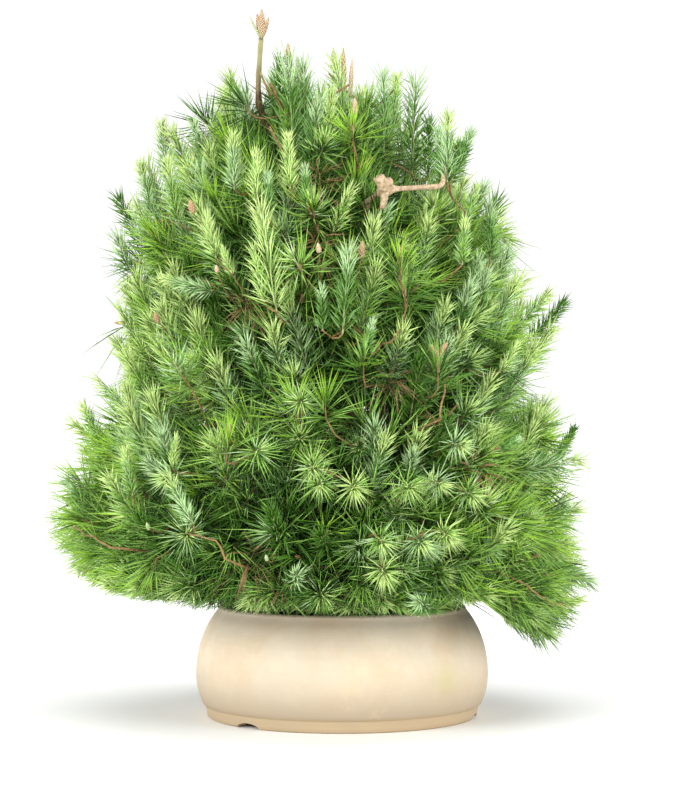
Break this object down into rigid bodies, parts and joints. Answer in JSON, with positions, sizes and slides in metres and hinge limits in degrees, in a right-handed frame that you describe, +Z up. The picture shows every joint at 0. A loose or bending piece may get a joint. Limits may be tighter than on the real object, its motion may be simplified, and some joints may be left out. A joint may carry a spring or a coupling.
{
  "type": "aleppo pine bonsai",
  "caption": "Bushy young pine grown as a bonsai: a broad cone of dense needle foliage on a tapering trunk, with a leader above the crown, in a low round stoneware pot of bulging wall.",
  "frame": {"origin": "on the ground under the middle of the whole plant, level with the pot's underside", "axes": "+Z up along the trunk; the plant's front faces -Y and +X is to its right seen from the front"},
  "size_m": [0.5009, 0.4796, 0.6213],
  "materials": {
    "stoneware": "matt unglazed beige stoneware",
    "soil": "dull dark potting soil",
    "bark": "rough grey-brown bark",
    "needles": "satin green needles",
    "bud": "dull tan bud scales"
  },
  "bodies": {
    "root": {"pot": "stoneware", "soil": "soil", "trunk": "bark", "bough_skirt_1": "bark", "bough_skirt_2": "bark", "bough_skirt_3": "bark", "bough_skirt_4": "bark", "bough_skirt_5": "bark", "bough_skirt_6": "bark", "bough_skirt_7": "bark", "bough_lower_1": "bark", "bough_lower_2": "bark", "bough_lower_3": "bark", "bough_lower_4": "bark", "bough_lower_5": "bark", "bough_middle_1": "bark", "bough_middle_2": "bark", "bough_middle_3": "bark", "bough_middle_4": "bark", "bough_middle_5": "bark", "bough_upper_1": "bark", "bough_upper_2": "bark", "bough_upper_3": "bark", "bough_upper_4": "bark", "bough_crest_1": "bark", "bough_crest_2": "bark", "bough_crest_3": "bark", "bough_shoulder": "bark", "foliage_skirt_1": "needles", "foliage_skirt_2": "needles", "foliage_skirt_3": "needles", "foliage_skirt_4": "needles", "foliage_skirt_5": "needles", "foliage_skirt_6": "needles", "foliage_skirt_7": "needles", "foliage_lower_1": "needles", "foliage_lower_2": "needles", "foliage_lower_3": "needles", "foliage_lower_4": "needles", "foliage_lower_5": "needles", "foliage_middle_1": "needles", "foliage_middle_2": "needles", "foliage_middle_3": "needles", "foliage_middle_4": "needles", "foliage_middle_5": "needles", "foliage_upper_1": "needles", "foliage_upper_2": "needles", "foliage_upper_3": "needles", "foliage_upper_4": "needles", "foliage_crest_1": "needles", "foliage_crest_2": "needles", "foliage_crest_3": "needles", "foliage_shoulder": "needles", "leader_buds": "bud"}
  },
  "joints": []
}
